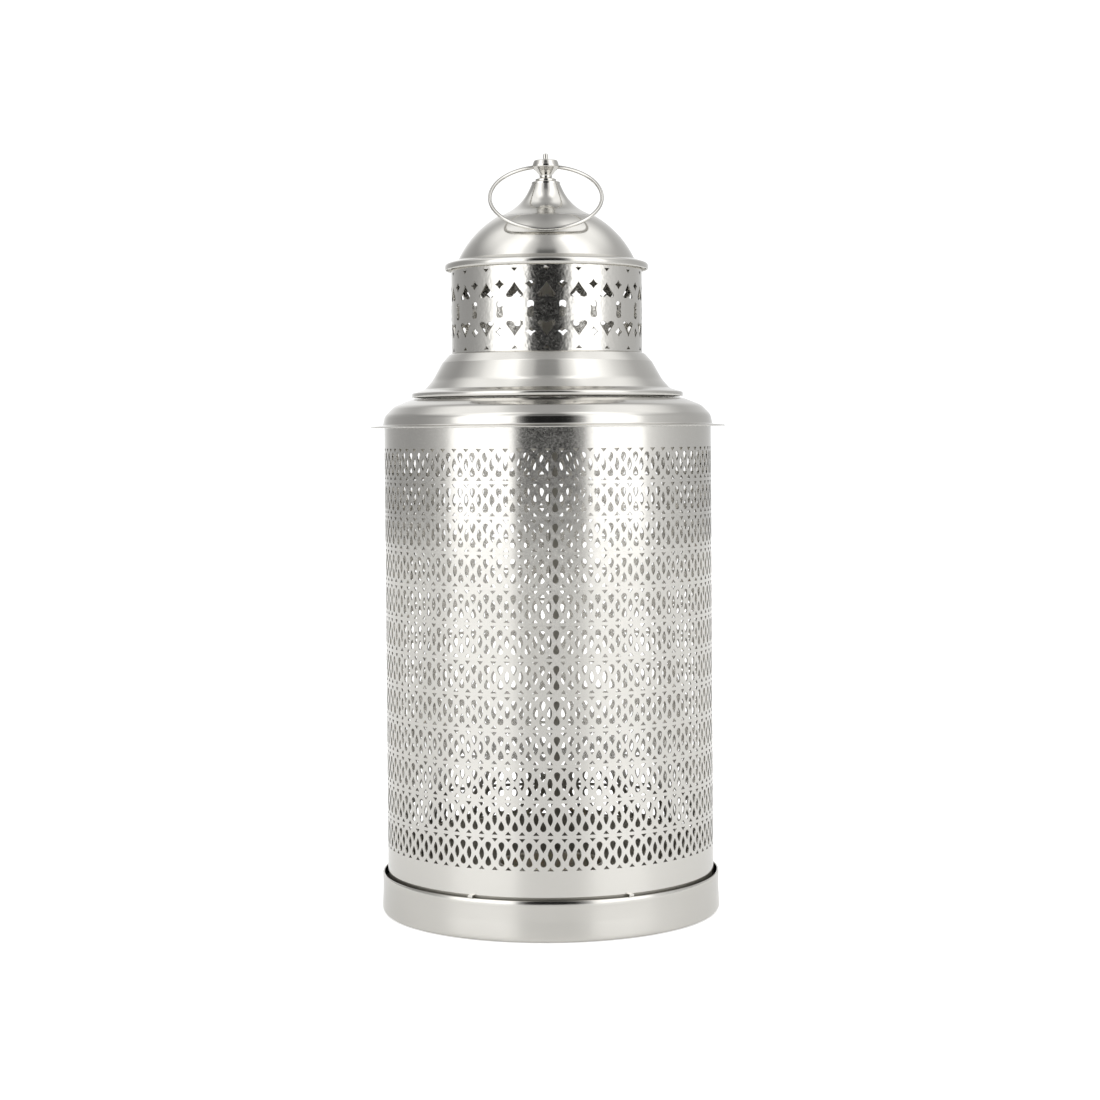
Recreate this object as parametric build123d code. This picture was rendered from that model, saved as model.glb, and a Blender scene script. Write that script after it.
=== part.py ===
from build123d import *
import math
import os

# Candle lantern in spun and pierced sheet metal. Millimetres, +Z up.
# The origin is the middle of the base's underside, the front of the lantern faces -Y.
# The pierced housing lifts off the base pan, and the ring handle swings in the finial.

# Sheets and clearances
sheet = 0.7                 # spun shoulders, neck, dome and cap
shell_wall = 0.6            # rolled pierced sheet
pan_wall = 1.0              # base pan, with its rim folded over
hoop_wall = 0.8             # hoops and seam strips soldered inside
seat_gap = 0.1              # between pieces that rest on each other and lift apart
overcut = 4.0               # how far a cutting shape reaches past the wall it cuts

# Base pan
foot_radius = 84.5
rim_radius = 84.0
rim_top = 19.6
foot_flare_height = 9.5
foot_inner_radius = 62.0    # inside this the floor is raised clear of the table
floor_rise = 1.5
floor_step_width = 2.0
pan_rounds = [1.2, 1.2, 2.2, 12.0]
rim_edge_round = 0.45

# Candle cup and its rivets
cup_bore_radius = 25.0
cup_top = 22.0
cup_flange_radius = 34.0
cup_corner_round = 1.6
cup_bead_radius = 0.9
rivet_circle_radius = 30.0
rivet_count = 3
rivet_shank_radius = 1.2
rivet_head_radius = 2.5
rivet_head_height = 1.0

# Candle
candle_radius = 24.2
candle_height = 12.0
candle_edge_round = 1.5
wick_radius = 0.8
wick_stand = 8.0            # bare wick above the wax
sustainer_radius = 9.0
sustainer_neck_radius = 1.7
sustainer_neck_height = 5.0
sustainer_wall = 0.4

# Pierced shell
shell_radius = 81.4
shell_bottom = 20.8
shell_top = 240.6
skirt_bottom = 6.0
skirt_top = 32.0
tab_angles = (-27.0, 27.0, 153.0, 207.0)   # from the front, about +Z
tab_width = 2.4
tab_reach = 83.6
seam_strip_width = 5.6
seam_strip_top = 228.0
seam_turn = 2.1             # degrees the seam stands to the right of the exact back

# Lower shoulder
flange_radius = 88.5
shoulder_foot_radius = 81.9
shoulder_side_radius = 81.5
shoulder_side_height = 244.6
flange_corner_round = 1.2
shoulder_turn = (77.5, 249.6)
shoulder_crest = (68.6, 254.1)
shoulder_mouth = (60.0, 255.0)
shoulder_hoop_bottom = 229.0
shoulder_hoop_top = 243.0

# Neck bell
lip_radius = 67.75
lip_bottom = 255.5
lip_top = 257.4
lip_round = 0.8
neck_foot = (61.2, 259.6)
neck_bend = (56.6, 265.2)
neck_waist = (52.6, 272.0)
neck_top = 277.2

# Pierced collar
collar_radius = 47.5
collar_bottom = 270.5
collar_seam_width = 5.0
top_hoop_bottom = 317.2

# Dome
dome_rim_radius = 50.75
dome_rim_bottom = 318.7
dome_rim_top = 321.4
dome_rim_slope = 0.353      # rise of the rim's top for each millimetre inwards
dome_rim_round = 1.8
dome_ball_radius = 48.5
dome_ball_height = 303.3
dome_flat_top = 344.7

# Trumpet cap
cap_rim_radius = 24.8
cap_waist = (13.1, 351.3)
cap_neck_radius = 7.1
cap_top = 362.6
cap_top_round = 0.6

# Finial, its stud and nut: the knob's outline as (radius, height above the cap)
knob_outline = [(0, 0), (5.2, 0), (5.2, 1.2), (3.1, 2.0), (3.1, 3.2), (6.7, 7.2), (6.7, 8.2), (5.8, 10.6), (0, 11.4)]
knob_rounds = [0.3, 0.3, 0.5, 1.2, 0.8, 1.2, 0.9]
knob_tip_start = 10.0
knob_tip_radius = 1.2
total_height = 376.7
stud_radius = 2.0
stud_bottom = 335.0
stud_top = 367.4
stud_chamfer = 0.4
washer_radius = 6.0
washer_height = 1.0
nut_across_flats = 7.0
nut_height = 3.2

# Ring handle
ring_hole_height = 370.0
ring_hole_radius = 1.8
ring_outer_width = 57.0
ring_outer_length = 53.6    # the ring is a little flattened
ring_wire_radius = 0.95
ring_hang = 25.4            # from the hole's axis to the ring's centre
ring_rest_angle = 48.0      # from straight down, towards the front


def levelled(edge):
    """The same edge, or for a level line one that is exactly level, so that it turns into a flat face."""
    start, end = edge @ 0, edge @ 1
    if edge.geom_type != GeomType.LINE or abs(start.Y - end.Y) > 1e-6:
        return edge
    level = round(start.Y, 6)
    return Edge.make_line((start.X, level), (end.X, level))


def turned(outline_face):
    """A solid turned about +Z from a face drawn as (radius, height)."""
    return revolve(Plane.XZ * outline_face, Axis.Z)


def spun(outline, wall, side=Side.LEFT):
    """Sheet of even thickness whose outer skin follows an outline of (radius, height)."""
    band = Wire(outline.edges()).offset_2d(wall, kind=Kind.INTERSECTION, side=side, closed=True)
    return turned(make_face([levelled(edge) for edge in band.edges()]))


def hoop(outer_radius, wall, bottom, top):
    """A plain upright band of sheet."""
    height = top - bottom
    band = Cylinder(outer_radius, height) - Cylinder(outer_radius - wall, height)
    return Pos(0, 0, (bottom + top) / 2) * band


def curved_strip(outer_radius, wall, width, bottom, top, turn=0.0):
    """A strip of a hoop, centred on the back of the lantern or turned some degrees to the right."""
    sweep_angle = math.degrees(width / outer_radius)
    section = Pos(outer_radius - wall / 2, (bottom + top) / 2) * Rectangle(wall, top - bottom)
    strip = revolve(Plane.XZ * section, Axis.Z, sweep_angle)
    return Rot(0, 0, 90 - turn - sweep_angle / 2) * strip


def base_pan():
    outer = FilletPolyline(
        (0, floor_rise),
        (foot_inner_radius - floor_step_width, floor_rise),
        (foot_inner_radius, 0),
        (foot_radius, 0),
        (rim_radius, foot_flare_height),
        (rim_radius, rim_top),
        radius=pan_rounds,
    )
    pan = spun(outer, pan_wall)
    rim_edges = pan.edges().group_by(Axis.Z)[-1]
    pan = fillet(rim_edges, rim_edge_round)
    return pan - rivet_holes()


def rivet_spots():
    return PolarLocations(rivet_circle_radius, rivet_count, start_angle=90)


def pan_floor():
    return floor_rise + pan_wall


def rivet_holes():
    drill = Cylinder(rivet_shank_radius, overcut)
    return [Pos(0, 0, pan_floor()) * spot * drill for spot in rivet_spots()]


def candle_cup():
    floor = pan_floor()
    outline = FilletPolyline(
        (cup_flange_radius, floor),
        (cup_bore_radius, floor),
        (cup_bore_radius, cup_top),
        radius=[cup_corner_round],
    )
    cup = spun(outline, sheet, Side.RIGHT)
    bead_centre = (cup_bore_radius + cup_bead_radius, cup_top)
    bead = turned(Pos(*bead_centre) * Circle(cup_bead_radius))
    return cup + bead - rivet_holes()


def cup_rivets():
    head_bottom = pan_floor() + sheet
    shank_bottom = floor_rise - rivet_head_height
    rivets = []
    for spot in rivet_spots():
        shank = Pos(0, 0, (head_bottom + shank_bottom) / 2)
        shank = shank * Cylinder(rivet_shank_radius, head_bottom - shank_bottom)
        head = Pos(0, 0, head_bottom + rivet_head_height / 2)
        head = head * Cylinder(rivet_head_radius, rivet_head_height)
        head = fillet(head.edges().sort_by(Axis.Z)[-1], rivet_head_height * 0.8)
        tail = Pos(0, 0, floor_rise - rivet_head_height / 2)
        tail = tail * Cylinder(rivet_head_radius * 0.8, rivet_head_height)
        rivets.append(spot * (shank + head + tail))
    return Compound(children=rivets)


def candle_bottom():
    return pan_floor() + seat_gap


def wick_sustainer():
    bottom = candle_bottom()
    disc = Pos(0, 0, bottom + sustainer_wall / 2) * Cylinder(sustainer_radius, sustainer_wall)
    neck = Pos(0, 0, bottom + sustainer_neck_height / 2)
    neck = neck * Cylinder(sustainer_neck_radius, sustainer_neck_height)
    bore = Pos(0, 0, bottom + sustainer_neck_height / 2)
    bore = bore * Cylinder(wick_radius, sustainer_neck_height)
    return disc + neck - bore


def wick():
    length = candle_height + wick_stand
    body = Pos(0, 0, candle_bottom() + length / 2) * Cylinder(wick_radius, length)
    return fillet(body.edges().sort_by(Axis.Z)[-1], wick_radius * 0.6)


def candle():
    bottom = candle_bottom()
    wax = Pos(0, 0, bottom + candle_height / 2) * Cylinder(candle_radius, candle_height)
    wax = fillet(wax.edges().sort_by(Axis.Z)[-1], candle_edge_round)
    return wax - wick_sustainer() - wick()


def pierced_shell():
    return hoop(shell_radius, shell_wall, shell_bottom, shell_top)


def shell_inner_radius():
    return shell_radius - shell_wall


def locating_skirt():
    return hoop(shell_inner_radius(), hoop_wall, skirt_bottom, skirt_top)


def rest_tabs():
    """Four small blocks that carry the shell on the pan's rim and leave an air gap."""
    depth = tab_reach - shell_inner_radius() + shell_wall
    height = shell_bottom - rim_top - seat_gap
    middle = tab_reach - depth / 2
    block = Pos(0, -middle, shell_bottom - height / 2) * Box(tab_width, depth, height)
    blocks = [Rot(0, 0, angle) * block for angle in tab_angles]
    core = Cylinder(shell_inner_radius(), 2 * (rim_top + overcut))
    return Compound(children=[block - core for block in blocks])


def seam_strip():
    bottom = skirt_top + seat_gap
    inner = shell_inner_radius()
    return curved_strip(inner, hoop_wall, seam_strip_width, bottom, seam_strip_top, seam_turn)


def shoulder_hoop():
    return hoop(shell_inner_radius(), hoop_wall, shoulder_hoop_bottom, shoulder_hoop_top)


def lower_shoulder():
    flange_skin = shell_top + sheet
    flange = FilletPolyline(
        (flange_radius, flange_skin),
        (shoulder_foot_radius, flange_skin),
        (shoulder_side_radius, shoulder_side_height),
        radius=[flange_corner_round],
    )
    side = TangentArc(flange @ 1, shoulder_turn, tangent=flange % 1)
    crest = TangentArc(side @ 1, shoulder_crest, tangent=side % 1)
    top = Line(crest @ 1, shoulder_mouth)
    outline = Curve() + [flange, side, crest, top]
    return spun(outline, sheet)


def neck_bell():
    lip = FilletPolyline(
        (lip_radius, lip_bottom),
        (lip_radius, lip_top),
        neck_foot,
        radius=[lip_round],
    )
    foot = ThreePointArc(lip @ 1, neck_bend, neck_waist)
    shoulder = TangentArc(foot @ 1, (collar_radius, neck_top), tangent=foot % 1)
    outline = Curve() + [lip, foot, shoulder]
    mouth = Pos(0, 0, neck_top) * Cylinder(collar_radius, overcut)
    return spun(outline, sheet) - mouth


def collar_top():
    """Just under the sloping inside of the dome's rim."""
    slope_height = dome_rim_top + (dome_rim_radius - collar_radius) * dome_rim_slope
    return slope_height - sheet * math.hypot(1, dome_rim_slope) - seat_gap


def collar():
    return hoop(collar_radius, shell_wall, collar_bottom, collar_top())


def collar_inner_radius():
    return collar_radius - shell_wall


def collar_foot_hoop():
    return hoop(collar_inner_radius(), hoop_wall, collar_bottom, neck_top - seat_gap)


def collar_top_hoop():
    return hoop(collar_inner_radius(), hoop_wall, top_hoop_bottom, collar_top())


def collar_seam_strip():
    inner = collar_inner_radius()
    return curved_strip(inner, hoop_wall, collar_seam_width, neck_top, top_hoop_bottom - seat_gap)


def dome_body(inset):
    """The dome as a filled shape, made smaller by an even inset for its hollow."""
    edge = dome_rim_radius - inset
    edge_top = dome_rim_top + inset * (dome_rim_slope - math.hypot(1, dome_rim_slope))
    rim = turned(Polygon(
        (0, dome_rim_bottom),
        (edge, dome_rim_bottom),
        (edge, edge_top),
        (0, edge_top + edge * dome_rim_slope),
        align=None,
    ))
    flat_top = dome_flat_top - inset
    ball = Pos(0, 0, dome_ball_height) * Sphere(dome_ball_radius - inset)
    slab = Cylinder(dome_rim_radius, flat_top - dome_rim_bottom)
    body = rim + (ball & Pos(0, 0, (flat_top + dome_rim_bottom) / 2) * slab)
    rim_corner = body.edges().filter_by_position(Axis.Z, edge_top, edge_top, inclusive=(True, True))
    return fillet(rim_corner, dome_rim_round - inset)


def dome():
    stud_hole = Pos(0, 0, dome_flat_top) * Cylinder(stud_radius, overcut)
    return dome_body(0) - dome_body(sheet) - stud_hole


def trumpet_cap():
    rim_height = dome_flat_top + sheet
    neck = (cap_neck_radius, cap_top - cap_top_round - seat_gap)
    flare = ThreePointArc((cap_rim_radius, rim_height), cap_waist, neck)
    top = FilletPolyline(neck, (cap_neck_radius, cap_top), (stud_radius, cap_top), radius=[cap_top_round])
    outline = Curve() + [flare, top]
    shell = spun(outline, sheet)
    below = Pos(0, 0, dome_flat_top - overcut / 2) * Cylinder(cap_rim_radius + overcut, overcut)
    return shell - below


def finial_knob():
    corners = [(radius, cap_top + height) for radius, height in knob_outline]
    profile = FilletPolyline(*corners, radius=knob_rounds)
    axis_line = Line(corners[-1], corners[0])
    knob = turned(make_face(Curve() + [profile, axis_line]))
    tip_bottom = cap_top + knob_tip_start
    tip_length = total_height - tip_bottom
    tip = Pos(0, 0, tip_bottom + tip_length / 2) * Cylinder(knob_tip_radius, tip_length)
    knob = knob + fillet(tip.edges().sort_by(Axis.Z)[-1], knob_tip_radius * 0.8)
    cross_hole = Cylinder(ring_hole_radius, ring_outer_width)
    tapped_depth = stud_top - cap_top
    tapped = Pos(0, 0, cap_top + tapped_depth / 2) * Cylinder(stud_radius, tapped_depth)
    return knob - Pos(0, 0, ring_hole_height) * Rot(0, 90, 0) * cross_hole - tapped


def finial_stud():
    length = stud_top - stud_bottom
    rod = Pos(0, 0, (stud_top + stud_bottom) / 2) * Cylinder(stud_radius, length)
    return chamfer(rod.edges().sort_by(Axis.Z)[0], stud_chamfer)


def washer_top():
    return dome_flat_top - sheet


def stud_washer():
    disc = Cylinder(washer_radius, washer_height) - Cylinder(stud_radius, washer_height)
    return Pos(0, 0, washer_top() - washer_height / 2) * disc


def stud_nut():
    outline = RegularPolygon(nut_across_flats / 2, 6, major_radius=False)
    prism = extrude(outline, nut_height) - Cylinder(stud_radius, 2 * nut_height + overcut)
    return Pos(0, 0, washer_top() - washer_height - nut_height) * prism


def ring_handle():
    half_width = ring_outer_width / 2 - ring_wire_radius
    half_length = ring_outer_length / 2 - ring_wire_radius
    loop = (Plane.XZ * Ellipse(half_width, half_length)).wire()
    section = Plane(origin=loop @ 0, z_dir=loop % 0) * Circle(ring_wire_radius)
    hanging = Pos(0, 0, -ring_hang) * sweep(section, path=loop)
    return Pos(0, 0, ring_hole_height) * Rot(-ring_rest_angle, 0, 0) * hanging


nodes = {
    "base_pan": base_pan,
    "candle_cup": candle_cup,
    "cup_rivets": cup_rivets,
    "candle": candle,
    "wick": wick,
    "wick_sustainer": wick_sustainer,
    "pierced_shell": pierced_shell,
    "locating_skirt": locating_skirt,
    "rest_tabs": rest_tabs,
    "shell_seam_strip": seam_strip,
    "shoulder_hoop": shoulder_hoop,
    "lower_shoulder": lower_shoulder,
    "neck_bell": neck_bell,
    "collar": collar,
    "collar_foot_hoop": collar_foot_hoop,
    "collar_top_hoop": collar_top_hoop,
    "collar_seam_strip": collar_seam_strip,
    "dome": dome,
    "trumpet_cap": trumpet_cap,
    "finial_knob": finial_knob,
    "finial_stud": finial_stud,
    "stud_washer": stud_washer,
    "stud_nut": stud_nut,
    "ring_handle": ring_handle,
}

os.makedirs("parts", exist_ok=True)
for name, make in nodes.items():
    export_step(make(), f"parts/{name}.step")
    print(name)
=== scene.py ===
import bpy
import bmesh
import math
from mathutils import Matrix, Vector
from mathutils.geometry import delaunay_2d_cdt


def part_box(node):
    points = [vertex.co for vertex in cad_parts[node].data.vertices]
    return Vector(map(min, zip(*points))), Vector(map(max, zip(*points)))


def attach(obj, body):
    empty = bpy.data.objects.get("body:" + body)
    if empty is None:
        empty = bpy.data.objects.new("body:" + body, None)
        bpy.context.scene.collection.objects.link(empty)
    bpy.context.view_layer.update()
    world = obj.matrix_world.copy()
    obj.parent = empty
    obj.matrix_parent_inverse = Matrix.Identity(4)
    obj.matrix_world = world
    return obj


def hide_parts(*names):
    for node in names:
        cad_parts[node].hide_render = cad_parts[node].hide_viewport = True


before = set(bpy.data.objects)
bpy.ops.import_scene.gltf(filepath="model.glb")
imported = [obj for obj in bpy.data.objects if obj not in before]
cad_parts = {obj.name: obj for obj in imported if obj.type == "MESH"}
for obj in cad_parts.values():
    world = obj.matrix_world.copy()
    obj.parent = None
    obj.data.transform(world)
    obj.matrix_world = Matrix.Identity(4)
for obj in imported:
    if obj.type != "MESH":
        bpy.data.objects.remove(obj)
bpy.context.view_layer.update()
mm = 0.001
print("frame loaded:", len(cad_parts), "nodes")


# ---- small tools ----

def linear(hexColour, alpha=1.0):
    parts = [int(hexColour[i:i + 2], 16) / 255 for i in (1, 3, 5)]
    return [p / 12.92 if p <= 0.04045 else ((p + 0.055) / 1.055) ** 2.4 for p in parts] + [alpha]


def addNode(tree, kind, settings=None, links=None):
    # settings are the node's own options; links feed its inputs, from a socket or a plain value
    node = tree.nodes.new(kind)
    for option, value in (settings or {}).items():
        setattr(node, option, value)
    for slot, source in (links or {}).items():
        if isinstance(source, bpy.types.NodeSocket):
            tree.links.new(source, node.inputs[slot])
        else:
            node.inputs[slot].default_value = source
    return node


def newMaterial(name):
    material = bpy.data.materials.new(name)
    material.use_nodes = True
    material.node_tree.nodes.clear()
    return material, material.node_tree


def finishMaterial(tree, shader):
    addNode(tree, "ShaderNodeOutputMaterial", links={"Surface": shader.outputs[0]})


def meshObject(name, mesh, material=None):
    piece = bpy.data.objects.new(name, mesh)
    bpy.context.collection.objects.link(piece)
    if material:
        mesh.materials.append(material)
    return piece


def evaluatedMesh(piece):
    # the plain mesh that the piece's modifiers give
    graph = bpy.context.evaluated_depsgraph_get()
    mesh = bpy.data.meshes.new_from_object(piece.evaluated_get(graph))
    piece.modifiers.clear()
    piece.data = mesh
    return mesh


def roundedPath(corners, steps=7):
    # corners are (radius, height, rounding) in mm; a rounding above zero turns the corner into an arc
    path = []
    for i, (r, z, rounding) in enumerate(corners):
        corner = Vector((r, z))
        if rounding == 0 or i in (0, len(corners) - 1):
            path.append(corner)
            continue
        before = (Vector(corners[i - 1][:2]) - corner).normalized()
        after = (Vector(corners[i + 1][:2]) - corner).normalized()
        half = before.angle(after) / 2
        centre = corner + (before + after).normalized() * rounding / math.sin(half)
        start = corner + before * rounding / math.tan(half) - centre
        end = corner + after * rounding / math.tan(half) - centre
        turn = start.angle_signed(end)
        for k in range(steps + 1):
            path.append(centre + Matrix.Rotation(-turn * k / steps, 2) @ start)
    return path


def sheetOutline(path, wall, edgeSteps=3):
    # closes a path into an even sheet on its left, with rounded edges
    inner = []
    for i, point in enumerate(path):
        before = path[max(i - 1, 0)]
        after = path[min(i + 1, len(path) - 1)]
        along = (after - before).normalized()
        inner.append(point + Vector((-along.y, along.x)) * wall)

    def roundEdge(a, b):
        middle = (a + b) / 2
        return [middle + Matrix.Rotation(math.pi * k / (edgeSteps + 1), 2) @ (a - middle)
                for k in range(1, edgeSteps + 1)]

    return path + roundEdge(path[-1], inner[-1]) + inner[::-1] + roundEdge(inner[0], path[0])


def turnedMesh(name, outline, segments=180, sharpAngle=38):
    # turns a closed outline of (radius, height) in mm about the lantern's axis
    shape = bmesh.new()
    rings = []
    for point in outline:
        if point[0] < 1e-4:
            rings.append([shape.verts.new((0, 0, point[1] * mm))])
            continue
        ring = []
        for k in range(segments):
            angle = 2 * math.pi * k / segments
            spot = (point[0] * mm * math.cos(angle), point[0] * mm * math.sin(angle), point[1] * mm)
            ring.append(shape.verts.new(spot))
        rings.append(ring)
    for a, b in zip(rings, rings[1:] + rings[:1]):
        if len(a) == 1 and len(b) == 1:
            continue
        for k in range(segments):
            n = (k + 1) % segments
            corners = [a[k % len(a)], a[n % len(a)], b[n % len(b)], b[k % len(b)]]
            unique = list(dict.fromkeys(corners))
            if len(unique) > 2:
                shape.faces.new(unique)
    bmesh.ops.remove_doubles(shape, verts=shape.verts, dist=1e-7)
    bmesh.ops.recalc_face_normals(shape, faces=shape.faces)
    smoothFaces(shape, sharpAngle)
    mesh = bpy.data.meshes.new(name)
    shape.to_mesh(mesh)
    shape.free()
    return mesh


def smoothFaces(shape, sharpAngle):
    for face in shape.faces:
        face.smooth = True
    for edge in shape.edges:
        if len(edge.link_faces) == 2:
            edge.smooth = edge.calc_face_angle(0) < math.radians(sharpAngle)


def standIn(name, node, mesh, material, body):
    # shows a finished mesh in place of a CAD node
    piece = meshObject(name, mesh, material)
    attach(piece, body)
    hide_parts(node)
    return piece


# ---- camera, light and floor ----

camera = {
    "distance": 1.13,        # from the lantern's axis, m
    "height": 0.2375,
    "aside": 0.001,
    "tilt": 1.25,            # degrees down
    "roll": 0.42,
    "focal": 2260 / 1100,    # focal length over frame width
    "shift": -0.0618,
}


def makeCamera():
    data = bpy.data.cameras.new("camera")
    data.sensor_width = 36
    data.lens = 36 * camera["focal"]
    data.shift_y = camera["shift"]
    data.clip_end = 50
    holder = bpy.data.objects.new("camera", data)
    bpy.context.collection.objects.link(holder)
    place = Matrix.Translation((camera["aside"], -camera["distance"], camera["height"]))
    aim = Matrix.Rotation(math.radians(90 - camera["tilt"]), 4, "X")
    holder.matrix_world = place @ aim @ Matrix.Rotation(math.radians(-camera["roll"]), 4, "Z")
    bpy.context.scene.camera = holder


studio = {
    # brightness round the room, from the camera's side (0) to behind the lantern (1)
    "levelLeft": [(0, 0.02), (0.075, 0.03), (0.1, 0.2), (0.125, 0.75), (0.17, 1.8), (0.33, 1.8), (0.41, 0.88),
                  (0.49, 0.5), (0.57, 0.4), (0.67, 0.4), (0.78, 0.48), (0.92, 0.9), (1, 1.15)],
    "levelRight": [(0, 0.02), (0.08, 0.03), (0.11, 0.2), (0.15, 0.8), (0.21, 1.8), (0.34, 1.8), (0.41, 1.05),
                   (0.48, 0.78), (0.57, 0.64), (0.67, 0.58), (0.78, 0.58), (0.92, 0.75), (1, 1.1)],
    "highLeft": [(0, 0.45), (0.07, 0.52), (0.11, 0.68), (0.155, 0.85), (0.22, 1.2), (0.3, 1.7), (0.47, 1.5),
                 (0.56, 1.25), (0.67, 1.3), (0.76, 1.0), (0.88, 0.5), (1, 0.35)],
    "highRight": [(0, 0.45), (0.07, 0.52), (0.11, 0.7), (0.155, 0.95), (0.22, 1.4), (0.3, 1.8), (0.48, 1.5),
                  (0.57, 1.3), (0.67, 1.35), (0.78, 1.1), (0.88, 0.55), (1, 0.35)],
    "highFrom": 0.5,         # height of a direction, 0 level and 1 straight up, where the high pair takes over
    "highTo": 0.84,
    "skirting": 0.45,        # least brightness just below level, where the far floor lies
    "skirtingFrom": -0.012,
    "skirtingTo": -0.035,
    "gapDarkness": 0.7,      # a dark gap high up in front
    "gapBottom": 0.73,
    "gapTop": 0.86,
    "gapHalfWidth": 0.1,
    "gapBlur": 0.03,
    "zenith": 0.5,           # brightness straight up
    "zenithFrom": 0.94,
    "backdrop": "#ffffff",
    "backdropStrength": 1.15,
    "paperColour": "#eeeeed",
    "paperRoughness": 0.4,
    "paperGlow": 0.2,
    "paperGlowSeen": 0.6,    # overexposed for the camera, as a white sweep is
    "floorRadius": 4.0,
    "floorDrop": 0.0002,     # m, keeps the pan's foot from sharing the floor's plane
}


def makeStudio():
    world = bpy.data.worlds.new("studio")
    bpy.context.scene.world = world
    world.use_nodes = True
    tree = world.node_tree
    tree.nodes.clear()
    direction = addNode(tree, "ShaderNodeTexCoord").outputs["Generated"]
    x, y, z = addNode(tree, "ShaderNodeSeparateXYZ", links={0: direction}).outputs
    front = addNode(tree, "ShaderNodeMath", {"operation": "MULTIPLY"}, {0: y, 1: -1.0}).outputs[0]
    side = addNode(tree, "ShaderNodeMath", {"operation": "ABSOLUTE"}, {0: x}).outputs[0]
    turn = addNode(tree, "ShaderNodeMath", {"operation": "ARCTAN2"}, {0: side, 1: front}).outputs[0]
    turn = addNode(tree, "ShaderNodeMath", {"operation": "DIVIDE"}, {0: turn, 1: math.pi}).outputs[0]
    levels = {}
    for name in ("levelLeft", "levelRight", "highLeft", "highRight"):
        curve = addNode(tree, "ShaderNodeFloatCurve", links={"Value": turn})
        shape = curve.mapping
        shape.use_clip = False
        points = shape.curves[0].points
        for spot, level in studio[name][1:-1]:
            points.new(spot, level)
        points[0].location = studio[name][0]
        points[-1].location = studio[name][-1]
        shape.update()
        levels[name] = curve.outputs[0]
    onRight = addNode(tree, "ShaderNodeMath", {"operation": "GREATER_THAN"}, {0: x, 1: 0.0}).outputs[0]
    low = addNode(tree, "ShaderNodeMix", {"data_type": "FLOAT"},
                  {0: onRight, 2: levels["levelLeft"], 3: levels["levelRight"]}).outputs[0]
    high = addNode(tree, "ShaderNodeMix", {"data_type": "FLOAT"},
                   {0: onRight, 2: levels["highLeft"], 3: levels["highRight"]}).outputs[0]
    skirting = addNode(tree, "ShaderNodeMapRange", links={
        "Value": z, "From Min": studio["skirtingFrom"], "From Max": studio["skirtingTo"], "To Min": 0.0,
        "To Max": studio["skirting"]}).outputs[0]
    low = addNode(tree, "ShaderNodeMath", {"operation": "MAXIMUM"}, {0: low, 1: skirting}).outputs[0]
    upward = addNode(tree, "ShaderNodeMapRange", {"interpolation_type": "SMOOTHSTEP"},
                     {"Value": z, "From Min": studio["highFrom"], "From Max": studio["highTo"]}).outputs[0]
    level = addNode(tree, "ShaderNodeMix", {"data_type": "FLOAT"}, {0: upward, 2: low, 3: high}).outputs[0]
    gap = 1.0
    for source, name, blur in ((z, "gapBottom", studio["gapBlur"]), (z, "gapTop", -studio["gapBlur"]),
                               (turn, "gapHalfWidth", -studio["gapBlur"])):
        part = addNode(tree, "ShaderNodeMapRange", {"interpolation_type": "SMOOTHSTEP"},
                       {"Value": source, "From Min": studio[name] - blur, "From Max": studio[name] + blur})
        gap = addNode(tree, "ShaderNodeMath", {"operation": "MULTIPLY"}, {0: gap, 1: part.outputs[0]}).outputs[0]
    kept = addNode(tree, "ShaderNodeMapRange", links={"Value": gap, "To Min": 1.0,
                                                      "To Max": 1 - studio["gapDarkness"]}).outputs[0]
    level = addNode(tree, "ShaderNodeMath", {"operation": "MULTIPLY"}, {0: level, 1: kept}).outputs[0]
    overhead = addNode(tree, "ShaderNodeMapRange", {"interpolation_type": "SMOOTHSTEP"},
                       {"Value": z, "From Min": studio["zenithFrom"], "From Max": 1.0}).outputs[0]
    level = addNode(tree, "ShaderNodeMix", {"data_type": "FLOAT"},
                    {0: overhead, 2: level, 3: studio["zenith"]}).outputs[0]
    room = addNode(tree, "ShaderNodeBackground", links={"Color": linear("#ffffff"), "Strength": level})
    plain = addNode(tree, "ShaderNodeBackground",
                    links={"Color": linear(studio["backdrop"]), "Strength": studio["backdropStrength"]})
    seen = addNode(tree, "ShaderNodeLightPath").outputs["Is Camera Ray"]
    mixed = addNode(tree, "ShaderNodeMixShader", links={0: seen, 1: room.outputs[0], 2: plain.outputs[0]})
    addNode(tree, "ShaderNodeOutputWorld", links={"Surface": mixed.outputs[0]})

    floorMesh = bpy.data.meshes.new("floor")
    shape = bmesh.new()
    bmesh.ops.create_circle(shape, cap_ends=True, segments=96, radius=studio["floorRadius"])
    shape.to_mesh(floorMesh)
    shape.free()
    paper, paperTree = newMaterial("whiteStudioPaper")
    seen = addNode(paperTree, "ShaderNodeLightPath").outputs["Is Camera Ray"]
    glow = addNode(paperTree, "ShaderNodeMapRange", links={
        "Value": seen, "To Min": studio["paperGlow"], "To Max": studio["paperGlowSeen"]}).outputs[0]
    paperShader = addNode(paperTree, "ShaderNodeBsdfPrincipled",
                          links={"Base Color": linear(studio["paperColour"]),
                                 "Roughness": studio["paperRoughness"], "Emission Color": linear("#ffffff"),
                                 "Emission Strength": glow})
    finishMaterial(paperTree, paperShader)
    floor = meshObject("floor", floorMesh, paper)
    floor.location.z = -studio["floorDrop"]


makeCamera()
makeStudio()
bpy.context.scene.view_settings.view_transform = "Standard"
print("camera and studio made")


# ---- materials ----

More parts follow.
